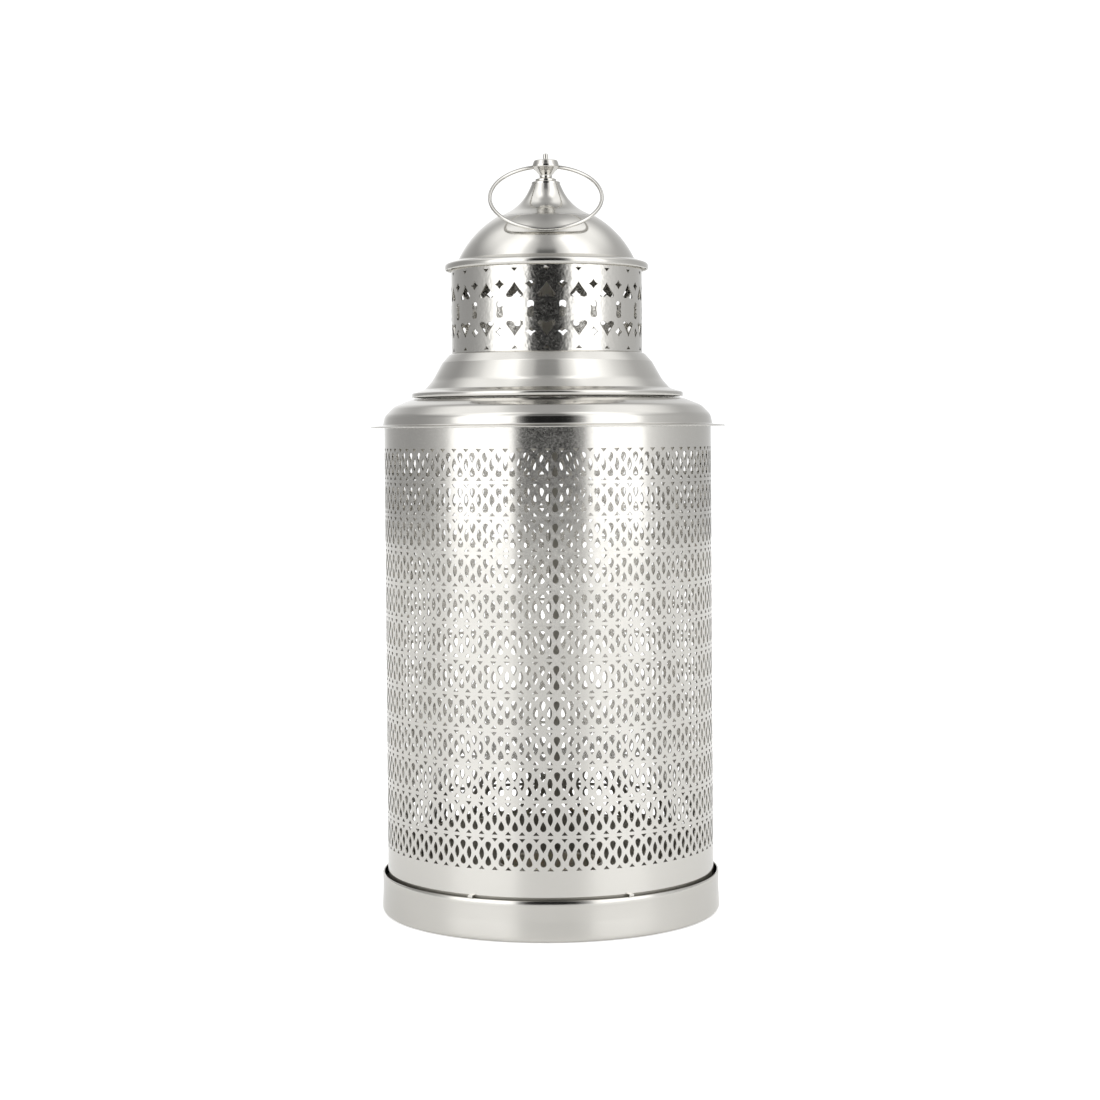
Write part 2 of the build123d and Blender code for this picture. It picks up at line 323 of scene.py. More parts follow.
satinNickel = {
    "colour": "#dbd9d4",
    "shade": "#cbc9c4",       # where handling has dulled it
    "roughness": 0.115,
    "roughnessSpread": 0.03,
    "anisotropy": 0.45,
    "anisotropyTurn": 0.25,   # a quarter turn: the blur runs across the rings
    "wireRoughness": 0.14,
    "wireRingDepth": 0.001,   # mm
    "ringSpacing": 0.6,       # mm; real wheel marks are finer, drawn this coarse so that they show
    "ringDepth": 0.0025,      # mm
    "smudgeSize": 38,         # mm
}


def turnedNickel(name, roughness, ringDepth):
    # nickel plate on spun brass, satined on the lathe: fine rings round the axis stretch the highlights upwards
    material, tree = newMaterial(name)
    place = addNode(tree, "ShaderNodeTexCoord").outputs["Object"]
    parts = addNode(tree, "ShaderNodeSeparateXYZ", links={0: place})
    flat = addNode(tree, "ShaderNodeVectorMath", {"operation": "MULTIPLY"}, {0: place, 1: (1, 1, 0)}).outputs[0]
    radius = addNode(tree, "ShaderNodeVectorMath", {"operation": "LENGTH"}, {0: flat}).outputs["Value"]
    section = addNode(tree, "ShaderNodeCombineXYZ", links={0: radius, 1: parts.outputs[2]}).outputs[0]
    rings = addNode(tree, "ShaderNodeTexNoise", {"noise_dimensions": "2D"},
                    {"Vector": section, "Scale": 1 / (satinNickel["ringSpacing"] * mm), "Detail": 3.0,
                     "Roughness": 0.65}).outputs["Fac"]
    smudges = addNode(tree, "ShaderNodeTexNoise", links={
        "Vector": place, "Scale": 1 / (satinNickel["smudgeSize"] * mm), "Detail": 4.0}).outputs["Fac"]
    colour = addNode(tree, "ShaderNodeMix", {"data_type": "RGBA"},
                     {0: smudges, 6: linear(satinNickel["colour"]), 7: linear(satinNickel["shade"])}).outputs[2]
    spread = satinNickel["roughnessSpread"]
    mixed = addNode(tree, "ShaderNodeMath", {"operation": "MULTIPLY"}, {0: rings, 1: smudges}).outputs[0]
    dull = addNode(tree, "ShaderNodeMapRange",
                   links={"Value": mixed, "From Min": 0.12, "From Max": 0.42, "To Min": roughness - spread / 2,
                          "To Max": roughness + spread}).outputs[0]
    bump = addNode(tree, "ShaderNodeBump", links={
        "Height": rings, "Strength": 1.0, "Distance": ringDepth * mm}).outputs[0]
    tangent = addNode(tree, "ShaderNodeTangent", {"direction_type": "RADIAL", "axis": "Z"}).outputs[0]
    shader = addNode(tree, "ShaderNodeBsdfPrincipled",
                     links={"Base Color": colour, "Metallic": 1.0, "Roughness": dull, "Normal": bump,
                            "Anisotropic": satinNickel["anisotropy"],
                            "Anisotropic Rotation": satinNickel["anisotropyTurn"], "Tangent": tangent})
    finishMaterial(tree, shader)
    return material


piercedNickel = {
    "colour": "#d9d7d2",
    "roughness": 0.12,
    "dentSize": 4.5,          # mm, waviness that the punch leaves between the holes
    "dentDepth": 0.02,        # mm
    "collarDentSize": 2.2,    # the collar's bigger holes pull its sheet about more
    "collarDentDepth": 0.075,
    "grainSize": 0.8,         # mm
    "grainDepth": 0.0006,
    "grainShine": 0.04,       # how far the grain lowers and raises the roughness
    "grainDulling": 0.06,
}


def punchedNickel(name, dentSize, dentDepth):
    # nickel-plated sheet, punched flat and rolled: the webs between the holes are pulled a little out of true
    material, tree = newMaterial(name)
    place = addNode(tree, "ShaderNodeTexCoord").outputs["Object"]
    dents = addNode(tree, "ShaderNodeTexNoise", links={
        "Vector": place, "Scale": 1 / (dentSize * mm), "Detail": 1.0}).outputs["Fac"]
    grain = addNode(tree, "ShaderNodeTexNoise", links={
        "Vector": place, "Scale": 1 / (piercedNickel["grainSize"] * mm), "Detail": 3.0}).outputs["Fac"]
    wavy = addNode(tree, "ShaderNodeBump", links={
        "Height": dents, "Strength": 1.0, "Distance": dentDepth * mm}).outputs[0]
    fine = addNode(tree, "ShaderNodeBump", links={
        "Height": grain, "Strength": 1.0, "Distance": piercedNickel["grainDepth"] * mm,
        "Normal": wavy}).outputs[0]
    dull = addNode(tree, "ShaderNodeMapRange",
                   links={"Value": grain, "From Min": 0.3, "From Max": 0.7,
                          "To Min": piercedNickel["roughness"] - piercedNickel["grainShine"],
                          "To Max": piercedNickel["roughness"] + piercedNickel["grainDulling"]}).outputs[0]
    shader = addNode(tree, "ShaderNodeBsdfPrincipled",
                     links={"Base Color": linear(piercedNickel["colour"]), "Metallic": 1.0,
                            "Roughness": dull, "Normal": fine})
    finishMaterial(tree, shader)
    return material


nickelOnBrass = turnedNickel("satinNickelPlateOnSpunBrass", satinNickel["roughness"], satinNickel["ringDepth"])
nickelSheet = punchedNickel("nickelPlatedPunchedSheet", piercedNickel["dentSize"], piercedNickel["dentDepth"])
collarNickel = punchedNickel("nickelPlatedPunchedCollar", piercedNickel["collarDentSize"],
                             piercedNickel["collarDentDepth"])
polishedNickel = turnedNickel("polishedNickelWire", satinNickel["wireRoughness"], satinNickel["wireRingDepth"])


# ---- pierced body ----

shellPattern = {
    "columns": 77,            # lace columns round the body
    "bands": 12,
    "bottom": 32.4,           # mm, where the lace starts
    "top": 231.0,
    "wall": 0.6,
    "outerRadius": 81.4,
    "ovalWidth": 2.45,
    "ovalHeight": 6.2,
    "triangleWidth": 3.0,
    "triangleFoot": 5.75,     # from the band's middle to the triangle's tip and base
    "triangleBase": 7.5,
    "dropWidth": 3.35,
    "dropStart": 0.95,
    "dropEnd": 5.75,
}


def ovalOutline(width, height, count=12):
    # two arcs that meet in points at top and bottom
    half, tall = width / 2, height / 2
    arcRadius = (tall * tall + half * half) / (2 * half)
    outline = []
    for k in range(count):
        t = 2 * math.pi * k / count
        v = tall * math.cos(t)
        u = math.sqrt(arcRadius ** 2 - v * v) - (arcRadius - half)
        outline.append((u if math.sin(t) >= 0 else -u, v))
    return outline


def dropOutline(width, start, end, count=12):
    # pointed at start, full near end
    outline = []
    for k in range(count):
        t = 2 * math.pi * k / count
        rise = (1 - math.cos(t)) / 2
        u = width / 2 * math.sin(t) * rise ** 0.55 * 1.16
        outline.append((u, start + (end - start) * rise))
    return outline


def shifted(outline, du, dv=0.0, flip=1):
    return [(u + du, v * flip + dv) for u, v in outline]


def insideOutline(point, outline):
    inside = False
    for (ax, ay), (bx, by) in zip(outline, outline[1:] + outline[:1]):
        if (ay > point[1]) != (by > point[1]):
            if point[0] < ax + (point[1] - ay) / (by - ay) * (bx - ax):
                inside = not inside
    return inside


def laceCell(name, left, right, low, high, holes, edgePoints=0, gridStep=0.0):
    # one flat tile of sheet with its holes, in mm, wound round the body later
    points, edges = [], []

    def addLoop(loop):
        first = len(points)
        points.extend(Vector(p) for p in loop)
        edges.extend((first + k, first + (k + 1) % len(loop)) for k in range(len(loop)))

    frameLoop = []
    sides = [((left, low), (right, low)), ((right, low), (right, high)), ((right, high), (left, high)),
             ((left, high), (left, low))]
    for (ax, ay), (bx, by) in sides:
        across = ay == by
        parts = edgePoints + 1 if across or gridStep else 1
        if gridStep and not across:
            parts = round(abs(by - ay) / gridStep)
        frameLoop += [(ax + (bx - ax) * k / parts, ay + (by - ay) * k / parts) for k in range(parts)]
    addLoop(frameLoop)
    for hole in holes:
        addLoop(hole)
    if gridStep:
        across = edgePoints + 1
        upward = round((high - low) / gridStep)
        for i in range(1, across):
            for j in range(1, upward):
                spot = (left + (right - left) * i / across, low + (high - low) * j / upward)
                clear = min(math.dist(spot, p) for hole in holes for p in hole)
                if clear > gridStep * 0.55 and not any(insideOutline(spot, hole) for hole in holes):
                    points.append(Vector(spot))
    verts, _, faces, _, _, _ = delaunay_2d_cdt(points, edges, [], 0, 1e-5)
    shape = bmesh.new()
    made = [shape.verts.new((v.x * mm, v.y * mm, 0)) for v in verts]
    for face in faces:
        middle = sum((verts[k] for k in face), Vector((0, 0))) / len(face)
        if not any(insideOutline(middle, hole) for hole in holes):
            shape.faces.new([made[k] for k in face])
    bmesh.ops.delete(shape, geom=[v for v in shape.verts if not v.link_faces], context="VERTS")
    bmesh.ops.recalc_face_normals(shape, faces=shape.faces)
    if shape.faces[:][0].normal.z < 0:
        bmesh.ops.reverse_faces(shape, faces=shape.faces)
    mesh = bpy.data.meshes.new(name)
    shape.to_mesh(mesh)
    shape.free()
    return mesh


def laceTree(name):
    # repeats a flat tile round and up a cylinder, adds the plain bands, and gives the sheet its thickness
    tree = bpy.data.node_groups.new(name, "GeometryNodeTree")
    tree.is_modifier = True
    face = tree.interface
    face.new_socket("Geometry", in_out="INPUT", socket_type="NodeSocketGeometry")
    for label, kind in (("Columns", "Int"), ("Bands", "Int"), ("Pitch", "Float"), ("Band height", "Float"),
                        ("Lace bottom", "Float"), ("Sheet bottom", "Float"), ("Sheet top", "Float"),
                        ("Plain parts", "Int"), ("Plain shift", "Float"), ("Wall", "Float")):
        face.new_socket(label, in_out="INPUT", socket_type="NodeSocket" + kind)
    face.new_socket("Material", in_out="INPUT", socket_type="NodeSocketMaterial")
    face.new_socket("Geometry", in_out="OUTPUT", socket_type="NodeSocketGeometry")
    size = addNode(tree, "NodeGroupInput").outputs

    def maths(operation, a, b=0.0):
        return addNode(tree, "ShaderNodeMath", {"operation": operation}, {0: a, 1: b}).outputs[0]

    around = maths("MULTIPLY", size["Pitch"], size["Columns"])
    laceHeight = maths("MULTIPLY", size["Band height"], size["Bands"])
    spots = addNode(tree, "GeometryNodeMeshGrid", links={
        "Size X": maths("SUBTRACT", around, size["Pitch"]),
        "Size Y": maths("SUBTRACT", laceHeight, size["Band height"]),
        "Vertices X": size["Columns"], "Vertices Y": size["Bands"]}).outputs[0]
    laceMiddle = maths("ADD", size["Lace bottom"], maths("MULTIPLY", laceHeight, 0.5))
    lift = addNode(tree, "ShaderNodeCombineXYZ", links={1: laceMiddle}).outputs[0]
    spots = addNode(tree, "GeometryNodeTransform", links={"Geometry": spots, "Translation": lift}).outputs[0]
    tiles = addNode(tree, "GeometryNodeInstanceOnPoints",
                    links={"Points": spots, "Instance": size["Geometry"]}).outputs[0]
    tiles = addNode(tree, "GeometryNodeRealizeInstances", links={0: tiles}).outputs[0]

    laceTop = maths("ADD", size["Lace bottom"], laceHeight)
    bands = []
    for low, high in ((size["Sheet bottom"], size["Lace bottom"]), (laceTop, size["Sheet top"])):
        band = addNode(tree, "GeometryNodeMeshGrid", links={
            "Size X": around, "Size Y": maths("SUBTRACT", high, low),
            "Vertices X": maths("ADD", size["Plain parts"], 1.0), "Vertices Y": 2}).outputs[0]
        shift = addNode(tree, "ShaderNodeCombineXYZ", links={
            0: size["Plain shift"], 1: maths("MULTIPLY", maths("ADD", low, high), 0.5)}).outputs[0]
        bands.append(addNode(tree, "GeometryNodeTransform",
                             links={"Geometry": band, "Translation": shift}).outputs[0])
    sheet = addNode(tree, "GeometryNodeJoinGeometry")
    for part in (tiles, *bands):
        tree.links.new(part, sheet.inputs[0])

    place = addNode(tree, "GeometryNodeInputPosition").outputs[0]
    flat = addNode(tree, "ShaderNodeSeparateXYZ", links={0: place}).outputs
    angle = maths("MULTIPLY", maths("DIVIDE", flat[0], around), 2 * math.pi)
    outerRadius = maths("DIVIDE", around, 2 * math.pi)
    innerRadius = maths("SUBTRACT", outerRadius, size["Wall"])
    wound = addNode(tree, "ShaderNodeCombineXYZ", links={
        0: maths("MULTIPLY", maths("SINE", angle), innerRadius),
        1: maths("MULTIPLY", maths("MULTIPLY", maths("COSINE", angle), innerRadius), -1.0),
        2: flat[1]}).outputs[0]
    tube = addNode(tree, "GeometryNodeSetPosition", links={
        "Geometry": sheet.outputs[0], "Position": wound}).outputs[0]
    tube = addNode(tree, "GeometryNodeMergeByDistance", links={"Geometry": tube, "Distance": 0.02 * mm}).outputs[0]

    raised = addNode(tree, "GeometryNodeExtrudeMesh", {"mode": "FACES"},
                     {"Mesh": tube, "Offset Scale": size["Wall"], "Individual": False}).outputs
    upright = addNode(tree, "ShaderNodeVectorMath", {"operation": "MULTIPLY"}, {0: place, 1: (1, 1, 0)}).outputs[0]
    outward = addNode(tree, "ShaderNodeVectorMath", {"operation": "NORMALIZE"}, {0: upright}).outputs[0]
    outward = addNode(tree, "ShaderNodeVectorMath", {"operation": "SCALE"}, {0: outward, 3: outerRadius}).outputs[0]
    height = addNode(tree, "ShaderNodeVectorMath", {"operation": "MULTIPLY"}, {0: place, 1: (0, 0, 1)}).outputs[0]
    onOuter = addNode(tree, "ShaderNodeVectorMath", {"operation": "ADD"}, {0: outward, 1: height}).outputs[0]
    skin = addNode(tree, "GeometryNodeSetPosition", links={
        "Geometry": raised["Mesh"], "Selection": raised["Top"], "Position": onOuter}).outputs[0]
    lining = addNode(tree, "GeometryNodeFlipFaces", links={0: tube}).outputs[0]
    both = addNode(tree, "GeometryNodeJoinGeometry")
    tree.links.new(skin, both.inputs[0])
    tree.links.new(lining, both.inputs[0])
    solid = addNode(tree, "GeometryNodeMergeByDistance",
                    links={"Geometry": both.outputs[0], "Distance": 0.02 * mm}).outputs[0]
    solid = addNode(tree, "GeometryNodeSetShadeSmooth", links={"Geometry": solid, "Shade Smooth": True}).outputs[0]
    fold = addNode(tree, "GeometryNodeInputMeshEdgeAngle").outputs["Unsigned Angle"]
    crisp = maths("GREATER_THAN", fold, math.radians(40))
    solid = addNode(tree, "GeometryNodeSetShadeSmooth", {"domain": "EDGE"},
                    {"Geometry": solid, "Selection": crisp, "Shade Smooth": False}).outputs[0]
    done = addNode(tree, "GeometryNodeRealizeInstances", links={0: solid}).outputs[0]
    done = addNode(tree, "GeometryNodeSetMaterial", links={0: done, "Material": size["Material"]}).outputs[0]
    addNode(tree, "NodeGroupOutput", links={0: done})
    return tree


laceWinder = laceTree("lace wound round a cylinder")


def woundLace(name, tile, sizes):
    piece = meshObject(name, tile)
    modifier = piece.modifiers.new("lace", "NODES")
    modifier.node_group = laceWinder
    sockets = {item.name: item.identifier for item in laceWinder.interface.items_tree
               if item.in_out == "INPUT"}
    for label, value in sizes.items():
        modifier[sockets[label]] = value
    mesh = evaluatedMesh(piece)
    bpy.data.objects.remove(piece)
    return mesh


def makeShell():
    low, high = (corner[2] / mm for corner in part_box("pierced_shell"))
    outerRadius = max(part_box("pierced_shell")[1][0] / mm, shellPattern["outerRadius"])
    pitch = 2 * math.pi * outerRadius / shellPattern["columns"]
    bandHeight = (shellPattern["top"] - shellPattern["bottom"]) / shellPattern["bands"]
    drop = dropOutline(shellPattern["dropWidth"], shellPattern["dropStart"], shellPattern["dropEnd"])
    triangle = [(-shellPattern["triangleWidth"] / 2, shellPattern["triangleBase"]),
                (shellPattern["triangleWidth"] / 2, shellPattern["triangleBase"]),
                (0.0, shellPattern["triangleFoot"])]
    holes = [
        ovalOutline(shellPattern["ovalWidth"], shellPattern["ovalHeight"]),
        triangle,
        shifted(triangle, 0, flip=-1),
        shifted(drop, pitch / 2),
        shifted(drop, pitch / 2, flip=-1),
    ]
    tile = laceCell("laceTile", -pitch / 4, pitch * 0.75, -bandHeight / 2, bandHeight / 2, holes, edgePoints=1)
    mesh = woundLace("shellLace", tile, {
        "Columns": shellPattern["columns"], "Bands": shellPattern["bands"], "Pitch": pitch * mm,
        "Band height": bandHeight * mm, "Lace bottom": shellPattern["bottom"] * mm,
        "Sheet bottom": low * mm, "Sheet top": high * mm, "Plain parts": 2 * shellPattern["columns"],
        "Plain shift": pitch / 4 * mm, "Wall": shellPattern["wall"] * mm, "Material": nickelSheet})
    standIn("piercedShell", "pierced_shell", mesh, None, "housing")
    print("pierced shell:", len(mesh.polygons), "faces")


makeShell()


# ---- pierced collar ----

collarPattern = {
    "columns": 19,
    "bottom": 277.3,          # mm, where the cut pattern starts
    "top": 318.0,
    "middle": 297.0,
    "wall": 0.6,
    "outerRadius": 47.5,
    "gridStep": 1.1,          # mesh size between the holes, so that the tile bends evenly
    "spadeWidth": 8.8,
    "spadeTip": 13.0,         # heights above the middle
    "spadeFoot": 5.6,
    "notchUp": (18.1, 19.8),  # tip and base of the small triangles above and below
    "notchDown": (17.4, 19.1),
    "notchWidth": 3.3,
    "diamondWidth": 5.0,
    "diamondHeight": 4.6,
    "diamondUp": 12.0,
    "diamondDown": 10.8,
    "waistHeight": 8.2,       # the hourglass between two columns
    "waistWidth": 4.6,
}


def spadeOutline(width, tip, foot):
    # a spade with its point up and a notch between its two lobes
    rise = tip - foot
    half = width / 2
    right = [(0.0, tip), (half * 0.34, tip - rise * 0.3), (half * 0.72, tip - rise * 0.58),
             (half * 0.98, foot + rise * 0.22), (half * 0.95, foot + rise * 0.07), (half * 0.7, foot),
             (half * 0.35, foot + rise * 0.03)]
    left = [(-u, v) for u, v in right[:0:-1]]
    return right + [(0.0, foot + rise * 0.16)] + left


def diamondOutline(width, height, centre):
    # four slightly hollow sides
    w, h = width / 2, height / 2
    pull = 0.42               # 0.5 would make the sides straight
    return [(0, centre + h), (w * pull, centre + h * pull), (w, centre), (w * pull, centre - h * pull),
            (0, centre - h), (-w * pull, centre - h * pull), (-w, centre), (-w * pull, centre + h * pull)]


def hourglassOutline(width, height, count=20):
    outline = []
    for k in range(count):
        t = 2 * math.pi * k / count
        v = height / 2 * math.cos(t)
        pinch = 0.5 + 0.5 * abs(math.cos(t)) ** 1.3
        outline.append((width / 2 * math.copysign(abs(math.sin(t)) ** 0.75, math.sin(t)) * pinch * 1.2, v))
    return outline


def makeCollar():
    low, high = (corner[2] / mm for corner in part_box("collar"))
    size = collarPattern
    outerRadius = max(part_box("collar")[1][0] / mm, size["outerRadius"])
    pitch = 2 * math.pi * outerRadius / size["columns"]
    laceMiddle = (size["bottom"] + size["top"]) / 2
    offset = size["middle"] - laceMiddle
    half = (size["top"] - size["bottom"]) / 2
    spade = spadeOutline(size["spadeWidth"], size["spadeTip"], size["spadeFoot"])
    reach = size["notchWidth"] / 2
    notches = [[(-reach, base * way), (reach, base * way), (0.0, tip * way)]
               for way, (tip, base) in ((1, size["notchUp"]), (-1, size["notchDown"]))]
    holes = [
        shifted(spade, 0, offset),
        shifted(spade, 0, offset, flip=-1),
        shifted(notches[0], 0, offset),
        shifted(notches[1], 0, offset),
        shifted(diamondOutline(size["diamondWidth"], size["diamondHeight"], size["diamondUp"]), pitch / 2, offset),
        shifted(diamondOutline(size["diamondWidth"], size["diamondHeight"], size["diamondDown"]), pitch / 2,
                offset, flip=-1),
        shifted(hourglassOutline(size["waistWidth"], size["waistHeight"]), pitch / 2, offset),
    ]
    across = round(pitch / size["gridStep"])
    tile = laceCell("collarTile", -pitch * 0.3, pitch * 0.7, -half, half, holes, edgePoints=across - 1,
                    gridStep=size["gridStep"])
    mesh = woundLace("collarLace", tile, {
        "Columns": size["columns"], "Bands": 1, "Pitch": pitch * mm, "Band height": 2 * half * mm,
        "Lace bottom": size["bottom"] * mm, "Sheet bottom": low * mm, "Sheet top": high * mm,
        "Plain parts": across * size["columns"], "Plain shift": pitch * 0.2 * mm, "Wall": size["wall"] * mm,
        "Material": collarNickel})
    standIn("piercedCollar", "collar", mesh, None, "housing")
    print("pierced collar:", len(mesh.polygons), "faces")


makeCollar()


# ---- turned pieces ----

basePan = {
    "wall": 1.0,
    "floorRise": 1.5,
    "footInner": 62.0,
    "footRadius": 84.5,
    "flareTop": 9.5,
    "rimRadius": 84.0,
    "rimTop": 19.6,
    "hemHeight": 3.2,         # the folded rim stands out a little from the wall below it
    "hemStep": 0.1,
}


def makeBasePan():
    size = basePan
    wallRadius = size["rimRadius"] - size["hemStep"]
    path = roundedPath([
        (0, size["floorRise"], 0), (size["footInner"] - 2, size["floorRise"], 1.2), (size["footInner"], 0, 1.2),
        (size["footRadius"] - size["hemStep"], 0, 2.2), (wallRadius, size["flareTop"], 12.0),
        (wallRadius, size["rimTop"] - size["hemHeight"], 0.4),
        (size["rimRadius"], size["rimTop"] - size["hemHeight"] + 0.35, 0.4),
        (size["rimRadius"], size["rimTop"] - 0.5, 0)])
    outline = sheetOutline(path, size["wall"])
    mesh = turnedMesh("basePan", [(abs(r), z) for r, z in outline], segments=240)
    standIn("basePan", "base_pan", mesh, nickelOnBrass, "base")


spunShoulder = {
    "wall": 0.7,
    "corners": [(88.1, 241.0, 0), (82.2, 241.5, 1.0), (81.25, 246.2, 5.0), (76.7, 250.9, 8.0),
                (68.2, 254.3, 6.0), (60.0, 255.0, 0)],
}

spunNeck = {
    "wall": 0.7,
    "corners": [(67.6, 255.6, 0), (67.6, 257.4, 0.8), (61.3, 259.3, 2.0), (57.3, 263.8, 12.0),
                (52.4, 272.6, 2.5), (48.9, 276.5, 2.0), (47.6, 277.1, 0)],
}

spunDome = {
    "wall": 0.7,
    "rim": [(50.7, 318.8, 0), (50.7, 321.4, 1.7), (44.3, 323.65, 0)],
    "ballRadius": 48.5,
    "ballCentre": 303.3,
    "flatTop": 344.6,
    "boltHole": 2.1,
}

trumpetCap = {
    "wall": 0.7,
    # the edge is worked down thin so that it lies flush on the dome
    "corners": [(25.0, 344.72, 0), (12.0, 350.6, 24.0), (7.1, 361.4, 0.6), (7.1, 362.5, 0.5), (2.1, 362.5, 0)],
    "edge": (24.2, 344.62),
}


def makeSpunPieces():
    for name, node, size in (("lowerShoulder", "lower_shoulder", spunShoulder), ("neckBell", "neck_bell", spunNeck),
                             ("trumpetCap", "trumpet_cap", trumpetCap)):
        path = roundedPath(size["corners"], steps=10)
        outline = sheetOutline(path, size["wall"])
        if "edge" in size:
            inside = [p for p in outline[len(path):] if p.y > size["edge"][1] + 0.1]
            outline = path + inside + [Vector(size["edge"])]
        standIn(name, node, turnedMesh(name, outline, segments=200), nickelOnBrass, "housing")
    size = spunDome
    rim = roundedPath(size["rim"])
    startAngle = math.asin((size["rim"][-1][1] - size["ballCentre"]) / size["ballRadius"])
    endAngle = math.asin((size["flatTop"] - size["ballCentre"]) / size["ballRadius"])
    ball = []
    for k in range(25):
        angle = startAngle + (endAngle - startAngle) * k / 24
        ball.append(Vector((size["ballRadius"] * math.cos(angle),
                            size["ballCentre"] + size["ballRadius"] * math.sin(angle))))
    path = rim[:-1] + ball + [Vector((size["boltHole"], size["flatTop"]))]
    mesh = turnedMesh("spunDome", sheetOutline(path, size["wall"]), segments=200)
    standIn("spunDome", "dome", mesh, nickelOnBrass, "housing")


makeBasePan()
makeSpunPieces()
print("turned pieces made")


# ---- finial and ring ----

finial = {
    "bottom": 362.6,
    "corners": [(0, 0, 0), (5.2, 0, 0.3), (5.2, 1.2, 0.3), (3.1, 2.0, 0.5), (3.1, 3.2, 1.2), (6.7, 7.2, 0.8),
                (6.7, 8.2, 1.2), (5.8, 10.6, 0.9), (1.3, 11.25, 0.5), (1.2, 14.05, 0.9), (0, 14.05, 0)],
    "holeRadius": 1.8,
    "holeHeight": 370.0,
}

ringHandle = {
    "outerWidth": 56.9,       # mm, a little flattened
    "outerLength": 53.5,
    "wireRadius": 0.94,
    "hang": 25.4,             # from the pivot to the ring's middle
    "restAngle": 48.0,        # degrees forward from hanging straight down
    "pivot": 370.0,
    "segments": 180,
}


def makeFinial():
    size = finial
    corners = [(r, z + size["bottom"], rounding) for r, z, rounding in size["corners"]]
    mesh = turnedMesh("finialKnob", roundedPath(corners, steps=6), segments=96)
    knob = meshObject("knobBlank", mesh)
    drill = bpy.data.meshes.new("drill")
    shape = bmesh.new()
    turn = Matrix.Translation((0, 0, size["holeHeight"] * mm)) @ Matrix.Rotation(math.pi / 2, 4, "Y")
    bmesh.ops.create_cone(shape, cap_ends=True, segments=40, radius1=size["holeRadius"] * mm,
                          radius2=size["holeRadius"] * mm, depth=30 * mm, matrix=turn)
    shape.to_mesh(drill)
    shape.free()
    cutter = meshObject("drill", drill)
    cut = knob.modifiers.new("cross hole", "BOOLEAN")
    cut.object = cutter
    cut.operation = "DIFFERENCE"
    cut.solver = "EXACT"
    mesh = evaluatedMesh(knob)
    bpy.data.objects.remove(knob)
    bpy.data.objects.remove(cutter)
    shape = bmesh.new()
    shape.from_mesh(mesh)
    smoothFaces(shape, 38)
    shape.to_mesh(mesh)
    shape.free()
    mesh.materials.clear()
    standIn("finialKnob", "finial_knob", mesh, nickelOnBrass, "housing")


def makeRing():
    size = ringHandle
    halfWidth = size["outerWidth"] / 2 - size["wireRadius"]
    halfLength = size["outerLength"] / 2 - size["wireRadius"]
    shape = bmesh.new()
    sides = 20
    rings = []
    for i in range(size["segments"]):
        a = 2 * math.pi * i / size["segments"]
        ring = []
        for j in range(sides):
            b = 2 * math.pi * j / sides
            spot = Vector((halfWidth * math.sin(a), 0, halfLength * math.cos(a) - size["hang"]))
            outward = Vector((halfLength * math.sin(a), 0, halfWidth * math.cos(a))).normalized()
            spot += outward * size["wireRadius"] * math.cos(b)
            ring.append(shape.verts.new((spot.x, size["wireRadius"] * math.sin(b), spot.z)))
        rings.append(ring)
    for i in range(size["segments"]):
        n = rings[(i + 1) % size["segments"]]
        for j in range(sides):
            k = (j + 1) % sides
            shape.faces.new((rings[i][j], rings[i][k], n[k], n[j]))
    bmesh.ops.recalc_face_normals(shape, faces=shape.faces)
    smoothFaces(shape, 60)
    place = Matrix.Translation((0, 0, size["pivot"])) @ Matrix.Rotation(math.radians(-size["restAngle"]), 4, "X")
    bmesh.ops.transform(shape, matrix=Matrix.Scale(mm, 4) @ place, verts=shape.verts)
    mesh = bpy.data.meshes.new("ringHandle")
    shape.to_mesh(mesh)
    shape.free()
    standIn("ringHandle", "ring_handle", mesh, polishedNickel, "ring")


makeFinial()
makeRing()
print("finial and ring made")


# ---- candle ----

candlePiece = {
    "radius": 24.15,
    "bottom": 2.6,
    "top": 14.55,
    "edgeRound": 1.5,
    "pool": 0.7,              # mm, the dish melted into the top
    "wickWell": 1.0,          # radius of the bore the wick runs in
    "sustainerWell": (9.2, 3.1),    # radius and height of the hollow for the wick's metal foot
    "neckWell": (1.9, 7.8),
    "wickRadius": 0.74,
    "wickStrands": 3,
    "wickTwist": 9.0,         # mm for one full turn of a strand
    "wickTop": 22.5,
}

candleWax = {
    "colour": "#f3ecdb",
    "depthColour": "#efdfbf",
    "scatter": 4.0,           # mm
    "mottleSize": 9.0,        # mm
    "mottleDepth": 0.08,      # mm
}

cottonWick = {
    "colour": "#ece7da",
    "charColour": "#2b2622",
    "charFrom": 20.5,         # mm, above this the cotton is scorched
    "fibreSize": 0.25,        # mm
    "fibreDepth": 0.05,       # mm
}


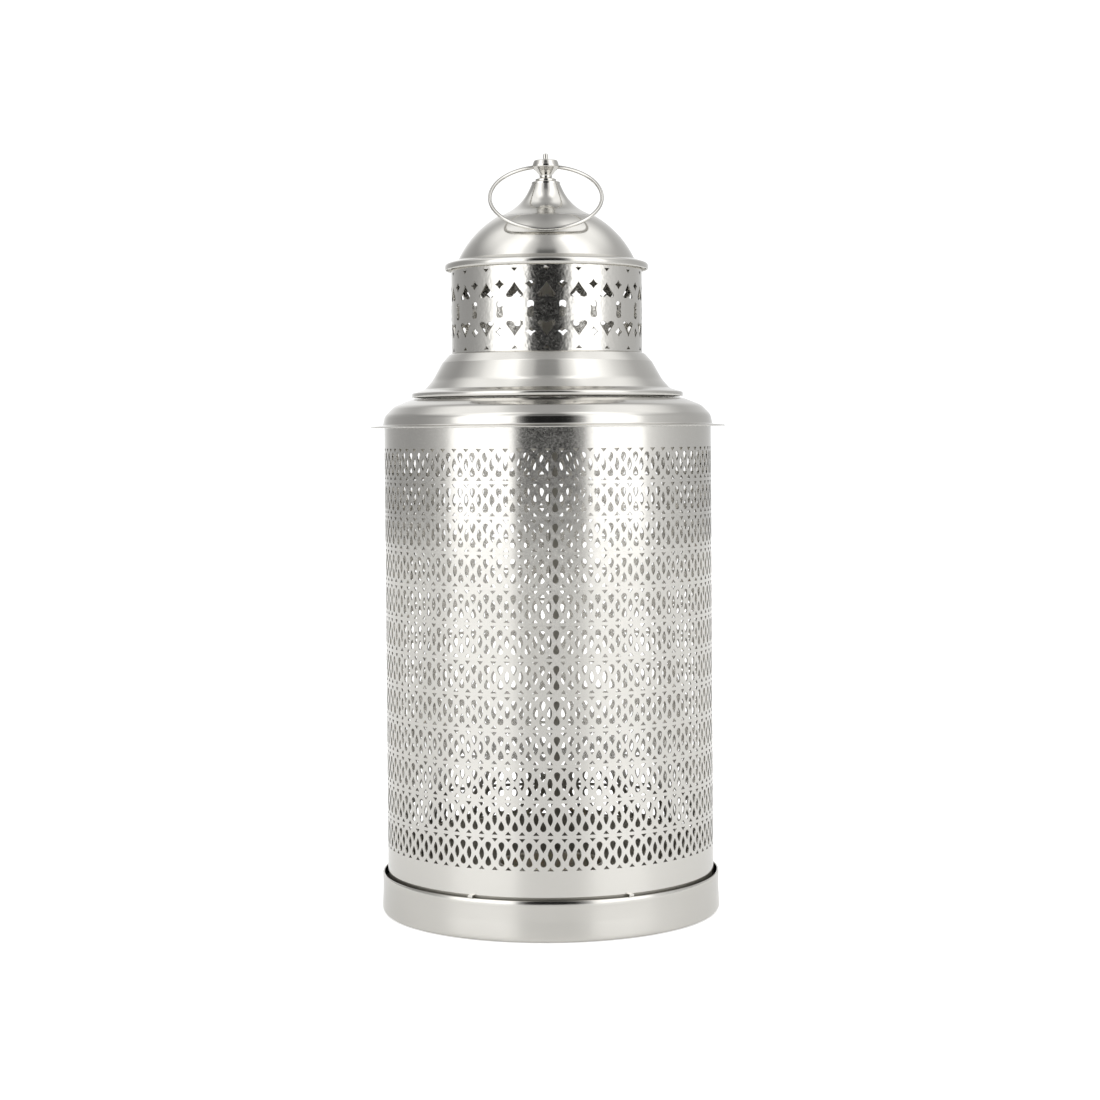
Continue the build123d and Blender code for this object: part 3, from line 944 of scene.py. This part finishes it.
def candleWaxMaterial():
    # cast paraffin wax: light sinks in a few millimetres, faint mottling from cooling
    material, tree = newMaterial("castParaffinWax")
    place = addNode(tree, "ShaderNodeTexCoord").outputs["Object"]
    mottle = addNode(tree, "ShaderNodeTexNoise", links={
        "Vector": place, "Scale": 1 / (candleWax["mottleSize"] * mm), "Detail": 4.0}).outputs["Fac"]
    colour = addNode(tree, "ShaderNodeMix", {"data_type": "RGBA"},
                     {0: mottle, 6: linear(candleWax["colour"]), 7: linear(candleWax["depthColour"])}).outputs[2]
    dull = addNode(tree, "ShaderNodeMapRange", links={"Value": mottle, "To Min": 0.36, "To Max": 0.52}).outputs[0]
    bump = addNode(tree, "ShaderNodeBump", links={
        "Height": mottle, "Strength": 1.0, "Distance": candleWax["mottleDepth"] * mm}).outputs[0]
    shader = addNode(tree, "ShaderNodeBsdfPrincipled",
                     links={"Base Color": colour, "Roughness": dull, "Normal": bump, "IOR": 1.44,
                            "Subsurface Weight": 0.8, "Subsurface Radius": (1.0, 0.8, 0.5),
                            "Subsurface Scale": candleWax["scatter"] * mm})
    finishMaterial(tree, shader)
    return material


def cottonWickMaterial():
    # twisted cotton thread, its tip scorched
    material, tree = newMaterial("twistedCottonWick")
    place = addNode(tree, "ShaderNodeTexCoord").outputs["Object"]
    height = addNode(tree, "ShaderNodeSeparateXYZ", links={0: place}).outputs[2]
    fibres = addNode(tree, "ShaderNodeTexNoise", links={
        "Vector": place, "Scale": 1 / (cottonWick["fibreSize"] * mm), "Detail": 2.0}).outputs["Fac"]
    charFrom = cottonWick["charFrom"]
    char = addNode(tree, "ShaderNodeMapRange", {"interpolation_type": "SMOOTHSTEP"}, {
        "Value": height, "From Min": charFrom * mm, "From Max": (charFrom + 1) * mm}).outputs[0]
    colour = addNode(tree, "ShaderNodeMix", {"data_type": "RGBA"},
                     {0: char, 6: linear(cottonWick["colour"]), 7: linear(cottonWick["charColour"])}).outputs[2]
    bump = addNode(tree, "ShaderNodeBump", links={
        "Height": fibres, "Strength": 1.0, "Distance": cottonWick["fibreDepth"] * mm}).outputs[0]
    shader = addNode(tree, "ShaderNodeBsdfPrincipled",
                     links={"Base Color": colour, "Roughness": 0.85, "Normal": bump, "Sheen Weight": 0.3})
    finishMaterial(tree, shader)
    return material


def makeCandle():
    size = candlePiece
    well, wellHeight = size["sustainerWell"]
    neck, neckHeight = size["neckWell"]
    corners = [(size["wickWell"], size["top"] - size["pool"], 0),
               (size["radius"] - 5.0, size["top"] - size["pool"], 3.0),
               (size["radius"] - 2.0, size["top"], 0.8), (size["radius"], size["top"], size["edgeRound"] * 0.6),
               (size["radius"], size["bottom"], 0.5), (well, size["bottom"], 0.1), (well, wellHeight, 0.1),
               (neck, wellHeight, 0.1), (neck, neckHeight, 0.1), (size["wickWell"], neckHeight, 0)]
    standIn("waxCandle", "candle", turnedMesh("waxCandle", roundedPath(corners), segments=120),
            candleWaxMaterial(), "candle")

    shape = bmesh.new()
    strandRadius = size["wickRadius"] / (1 + 2 / math.sqrt(3)) * 1.12
    reach = size["wickRadius"] - strandRadius
    steps, sides = 60, 10
    for strand in range(size["wickStrands"]):
        before = None
        for i in range(steps + 1):
            height = size["bottom"] + (size["wickTop"] - size["bottom"]) * i / steps
            turn = 2 * math.pi * ((height - size["bottom"]) / size["wickTwist"] + strand / size["wickStrands"])
            middle = Vector((reach * math.cos(turn), reach * math.sin(turn), height))
            ring = []
            for j in range(sides):
                b = 2 * math.pi * j / sides
                ring.append(shape.verts.new(middle + Vector((math.cos(b), math.sin(b), 0)) * strandRadius))
            if before:
                for j in range(sides):
                    k = (j + 1) % sides
                    shape.faces.new((before[j], before[k], ring[k], ring[j]))
            if i in (0, steps):
                shape.faces.new(ring if i else ring[::-1])
            before = ring
    bmesh.ops.scale(shape, vec=(mm, mm, mm), verts=shape.verts)
    smoothFaces(shape, 60)
    mesh = bpy.data.meshes.new("cottonWick")
    shape.to_mesh(mesh)
    shape.free()
    standIn("cottonWick", "wick", mesh, cottonWickMaterial(), "candle")


makeCandle()
print("candle made")


# ---- pieces that keep their CAD shape ----

insideMetal = {
    "sheetColour": "#aaa79f",
    "sheetRoughness": 0.4,
    "zincColour": "#b4b6b8",
    "zincRoughness": 0.32,
    "grainScale": 700.0,      # grains to a metre
}


def plainMetal(name, colour, roughness):
    # bright zinc or plain nickel sheet, seen only inside
    material, tree = newMaterial(name)
    place = addNode(tree, "ShaderNodeTexCoord").outputs["Object"]
    grain = addNode(tree, "ShaderNodeTexNoise", links={
        "Vector": place, "Scale": insideMetal["grainScale"], "Detail": 3.0}).outputs["Fac"]
    dull = addNode(tree, "ShaderNodeMapRange", links={"Value": grain, "To Min": roughness - 0.06,
                                                      "To Max": roughness + 0.08}).outputs[0]
    shader = addNode(tree, "ShaderNodeBsdfPrincipled",
                     links={"Base Color": linear(colour), "Metallic": 1.0, "Roughness": dull})
    finishMaterial(tree, shader)
    return material


def dress(nodes, material):
    for node in nodes:
        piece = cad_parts[node]
        piece.data.materials.clear()
        piece.data.materials.append(material)


dress(["locating_skirt", "shell_seam_strip", "shoulder_hoop", "collar_foot_hoop", "collar_top_hoop",
       "collar_seam_strip", "candle_cup"],
      plainMetal("dullNickelSheet", insideMetal["sheetColour"], insideMetal["sheetRoughness"]))
dress(["cup_rivets", "finial_stud", "stud_washer", "stud_nut", "wick_sustainer"],
      plainMetal("zincPlatedSteel", insideMetal["zincColour"], insideMetal["zincRoughness"]))
dress(["rest_tabs"], nickelOnBrass)
